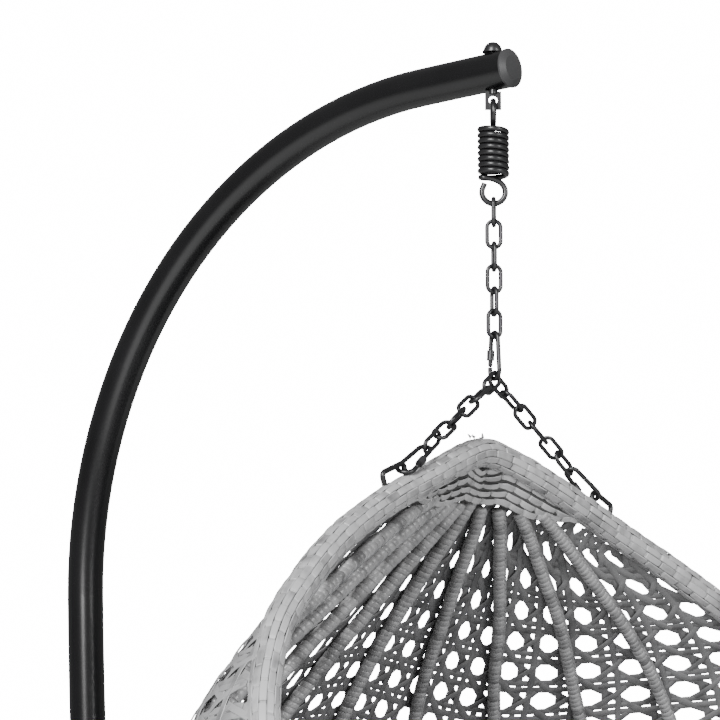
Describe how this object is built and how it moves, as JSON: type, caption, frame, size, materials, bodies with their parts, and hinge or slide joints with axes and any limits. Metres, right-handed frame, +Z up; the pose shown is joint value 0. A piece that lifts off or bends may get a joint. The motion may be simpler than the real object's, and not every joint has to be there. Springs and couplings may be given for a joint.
{
  "type": "hanging egg chair",
  "caption": "Wide wicker egg chair that hangs on a spring, a chain and branched carabiner chains from the arm of a curved pole on a ring base",
  "frame": {"origin": "on the floor straight below the hanging point, at the base ring's centre, under the feet", "axes": "+Z up; the sitter faces -Y; the pole stands at +Y; +X is the sitter's left"},
  "size_m": [1.3972, 1.3129, 1.9936],
  "materials": {
    "stand_paint": "semi-gloss powder coat",
    "inner_steel": "bare tube",
    "fastener_black": "blackened",
    "hanger_paint": "semi-gloss",
    "cap_plastic": "satin moulded",
    "foot_rubber": "matt",
    "spring_paint": "semi-gloss",
    "chain_paint": "worn semi-gloss",
    "carabiner_paint": "worn semi-gloss",
    "screw_zinc": "knurled",
    "frame_paint": "matt",
    "wicker_light": "flat resin wicker, faint grain",
    "wicker_rib": "flat resin wicker, satin",
    "wicker_net": "flat resin wicker, satin",
    "cushion_fabric": "woven polyester"
  },
  "bodies": {
    "stand": {"base_ring_front": "stand_paint", "base_ring_rear": "stand_paint", "base_joint_sleeves": "inner_steel", "base_bolts": "fastener_black", "base_spine": "stand_paint", "pole_socket": "stand_paint", "rubber_feet": "foot_rubber", "pole_lower": "stand_paint", "pole_upper": "stand_paint", "pole_joint_sleeve": "inner_steel", "pole_joint_bolts": "fastener_black", "socket_bolt": "fastener_black", "arm_end_cap": "cap_plastic", "eye_bolt": "hanger_paint", "dome_nut": "fastener_black"},
    "hanging_spring": {"spring": "spring_paint"},
    "link_1": {"chain_link_1": "chain_paint"},
    "link_2": {"chain_link_2": "chain_paint"},
    "link_3": {"chain_link_3": "chain_paint"},
    "link_4": {"chain_link_4": "chain_paint"},
    "link_5": {"chain_link_5": "chain_paint"},
    "link_6": {"chain_link_6": "chain_paint"},
    "yoke": {"main_carabiner_body": "carabiner_paint", "left_chain_links": "chain_paint", "right_chain_links": "chain_paint", "left_carabiner_body": "carabiner_paint", "right_carabiner_body": "carabiner_paint"},
    "main_gate": {"main_carabiner_gate": "carabiner_paint"},
    "left_gate": {"left_carabiner_gate": "carabiner_paint"},
    "right_gate": {"right_carabiner_gate": "carabiner_paint"},
    "main_screw": {"main_carabiner_screw": "screw_zinc"},
    "left_screw": {"left_carabiner_screw": "screw_zinc"},
    "right_screw": {"right_carabiner_screw": "screw_zinc"},
    "basket": {"rim_tube": "frame_paint", "rim_wicker": "wicker_light", "rib_1": "wicker_rib", "rib_2": "wicker_rib", "rib_3": "wicker_rib", "rib_4": "wicker_rib", "rib_5": "wicker_rib", "rib_6": "wicker_rib", "rib_7": "wicker_rib", "rib_8": "wicker_rib", "rib_9": "wicker_rib", "basket_net": "wicker_net", "rim_loop_left": "hanger_paint", "rim_loop_right": "hanger_paint", "seat_cushion": "cushion_fabric", "back_cushion_left": "cushion_fabric", "back_cushion_right": "cushion_fabric"}
  },
  "joints": [
    {"name": "swing_fore_aft", "type": "hinge", "parent": "stand", "child": "hanging_spring", "pos_m": [0, 0, 1.9105], "axis": [1, 0, 0], "range_deg": [-8, 8]},
    {"name": "spring_stretch", "type": "slide", "parent": "hanging_spring", "child": "link_1", "axis": [0, 0, -1], "range_m": [0, 0.025], "stiffness_N_per_m": 50000, "springref_m": -0.0075, "deforming": ["spring"]},
    {"name": "swing_sideways", "type": "hinge", "parent": "link_1", "child": "link_2", "pos_m": [0, 0, 1.7534], "axis": [0, 1, 0], "range_deg": [-8, 8]},
    {"name": "chain_twist_1", "type": "hinge", "parent": "link_2", "child": "link_3", "pos_m": [0, 0, 1.7241], "axis": [0, 0, 1], "range_deg": [-6, 6]},
    {"name": "chain_twist_2", "type": "hinge", "parent": "link_3", "child": "link_4", "pos_m": [0, 0, 1.6948], "axis": [0, 0, 1], "range_deg": [-6, 6]},
    {"name": "chain_twist_3", "type": "hinge", "parent": "link_4", "child": "link_5", "pos_m": [0, 0, 1.6655], "axis": [0, 0, 1], "range_deg": [-6, 6]},
    {"name": "chain_twist_4", "type": "hinge", "parent": "link_5", "child": "link_6", "pos_m": [0, 0, 1.6362], "axis": [0, 0, 1], "range_deg": [-6, 6]},
    {"name": "swivel_top", "type": "hinge", "parent": "link_6", "child": "yoke", "pos_m": [0, 0, 1.6069], "axis": [0, 0, 1], "range_deg": [-6, 6]},
    {"name": "basket_tilt", "type": "hinge", "parent": "yoke", "child": "basket", "pos_m": [0, -0.01013, 1.41441], "axis": [1, 0, 0], "range_deg": [-5, 5]},
    {"name": "main_gate_opens", "type": "hinge", "parent": "yoke", "child": "main_gate", "pos_m": [0.00391, 0.00968, 1.56929], "axis": [0.9272, -0.3746, 0], "range_deg": [0, 18], "stiffness_Nm_per_rad": 0.05, "springref_deg": -5.73},
    {"name": "main_screw_travel", "type": "slide", "parent": "main_gate", "child": "main_screw", "axis": [-0.0274, -0.0678, 0.9973], "range_m": [0, 0.009]},
    {"name": "left_gate_opens", "type": "hinge", "parent": "yoke", "child": "left_gate", "pos_m": [-0.19253, -0.01965, 1.41835], "axis": [-0.5136, -0.3419, 0.787], "range_deg": [0, 18], "stiffness_Nm_per_rad": 0.05, "springref_deg": -5.73},
    {"name": "left_screw_travel", "type": "slide", "parent": "left_gate", "child": "left_screw", "axis": [0.816, 0.0889, 0.5712], "range_m": [0, 0.009]},
    {"name": "right_gate_opens", "type": "hinge", "parent": "yoke", "child": "right_gate", "pos_m": [0.19322, 0.0004, 1.41789], "axis": [0.5371, 0.3415, 0.7713], "range_deg": [0, 18], "stiffness_Nm_per_rad": 0.05, "springref_deg": -5.73},
    {"name": "right_screw_travel", "type": "slide", "parent": "right_gate", "child": "right_screw", "axis": [-0.8193, -0.0064, 0.5734], "range_m": [0, 0.009]}
  ]
}
